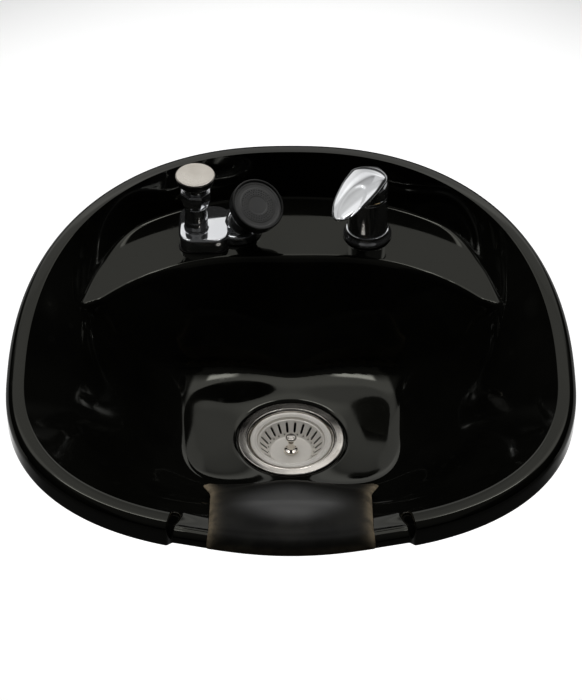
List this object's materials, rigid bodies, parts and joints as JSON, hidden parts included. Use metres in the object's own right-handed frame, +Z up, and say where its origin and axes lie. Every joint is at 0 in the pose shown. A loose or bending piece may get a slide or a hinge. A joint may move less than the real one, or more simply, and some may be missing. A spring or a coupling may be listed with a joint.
{
  "type": "tilting shampoo bowl",
  "caption": "Oval glazed salon backwash bowl with a neck notch and rubber neck rest, basket strainer drain, single-lever mixer, vacuum breaker and hand spray, on a tilting wall bracket.",
  "frame": {"origin": "middle of the wall plate's back face, on the wall", "axes": "+X to the right seen from the client's side, +Y into the wall, +Z up"},
  "size_m": [0.58, 0.541, 0.3322],
  "materials": {
    "glaze": "gloss glaze",
    "neck_rubber": "satin",
    "seal_rubber": "matte",
    "chrome": "polished",
    "polished_steel": "polished",
    "brushed_steel": "brushed",
    "black_plastic": "satin",
    "nozzle_plastic": "satin",
    "white_plastic": "satin",
    "fibre": "matte",
    "brass": "satin",
    "ceramic_disc": "satin",
    "zinc_plated": "zinc plated",
    "bronze": "satin",
    "coated_steel": "satin powder coat"
  },
  "bodies": {
    "bracket": {"wall_bracket": "coated_steel", "pivot_bolt_left": "zinc_plated", "pivot_bolt_right": "zinc_plated", "pivot_nut_left": "zinc_plated", "pivot_nut_right": "zinc_plated"},
    "bowl": {"bowl_shell": "glaze", "drain_flange": "polished_steel", "drain_seal": "seal_rubber", "drain_under_washer": "seal_rubber", "drain_friction_ring": "fibre", "drain_lock_nut": "white_plastic", "tailpiece_washer": "seal_rubber", "drain_tailpiece": "chrome", "tailpiece_slip_nut": "chrome", "mixer_gasket": "seal_rubber", "mixer_base_ring": "chrome", "mixer_body": "chrome", "mixer_under_washer": "seal_rubber", "mixer_lock_nut": "brass", "hot_tail": "brass", "cold_tail": "brass", "outlet_tail": "brass", "cartridge_body": "white_plastic", "cartridge_nut": "brass", "fixture_plate": "chrome", "fixture_gasket": "seal_rubber", "breaker_riser": "chrome", "breaker_housing": "chrome", "breaker_bonnet": "chrome", "breaker_cap_skirt": "black_plastic", "breaker_cap_disc": "brushed_steel", "breaker_under_washer": "seal_rubber", "breaker_lock_nut": "brass", "hose_guide": "white_plastic", "hose_guide_nut": "white_plastic", "cradle": "coated_steel", "bowl_bolt_1": "zinc_plated", "bowl_bolt_2": "zinc_plated", "bowl_bolt_3": "zinc_plated", "bowl_bolt_4": "zinc_plated", "pivot_bush_left": "bronze", "pivot_bush_right": "bronze", "clamp_stud": "zinc_plated", "clamp_washer": "zinc_plated"},
    "neck_rest": {"neck_rest": "neck_rubber"},
    "strainer": {"strainer_basket": "brushed_steel", "strainer_knob": "polished_steel", "strainer_stopper": "seal_rubber", "stopper_nut": "polished_steel"},
    "float": {"breaker_float": "white_plastic"},
    "handle_turn": {"cartridge_rotor": "ceramic_disc"},
    "handle": {"mixer_handle": "chrome", "cartridge_stem": "polished_steel", "handle_screw": "polished_steel"},
    "spray": {"spray_head": "black_plastic", "spray_face": "nozzle_plastic", "spray_grip": "black_plastic", "hose_coupling": "chrome"},
    "clamp_lever": {"clamp_lever": "black_plastic"}
  },
  "joints": [
    {"name": "bowl_tilt", "type": "hinge", "parent": "bracket", "child": "bowl", "pos_m": [0, -0.045, 0.045], "axis": [1, 0, 0], "range_deg": [-5, 15]},
    {"name": "clamp_lever_turn", "type": "hinge", "parent": "bowl", "child": "clamp_lever", "pos_m": [0.1731, -0.0945, -0.0045], "axis": [1, 0, 0], "range_deg": [0, 70]},
    {"name": "handle_turn", "type": "hinge", "parent": "bowl", "child": "handle_turn", "pos_m": [0.082, -0.114, 0.1], "axis": [0, 0, 1], "range_deg": [-22, 78]},
    {"name": "handle_lift", "type": "hinge", "parent": "handle_turn", "child": "handle", "pos_m": [0.082, -0.114, 0.1436], "axis": [-0.8829, 0.4695, 0], "range_deg": [0, 18]},
    {"name": "strainer_lift", "type": "slide", "parent": "bowl", "child": "strainer", "axis": [0, 0, 1], "range_m": [0, 0.06]},
    {"name": "spray_pull", "type": "slide", "parent": "bowl", "child": "spray", "axis": [0.3601, -0.4501, 0.8172], "range_m": [0, 0.12]},
    {"name": "neck_rest_lift", "type": "slide", "parent": "bowl", "child": "neck_rest", "axis": [0, 0, 1], "range_m": [0, 0.06]},
    {"name": "float_rise", "type": "slide", "parent": "bowl", "child": "float", "axis": [0, 0, 1], "range_m": [0, 0.004]}
  ]
}
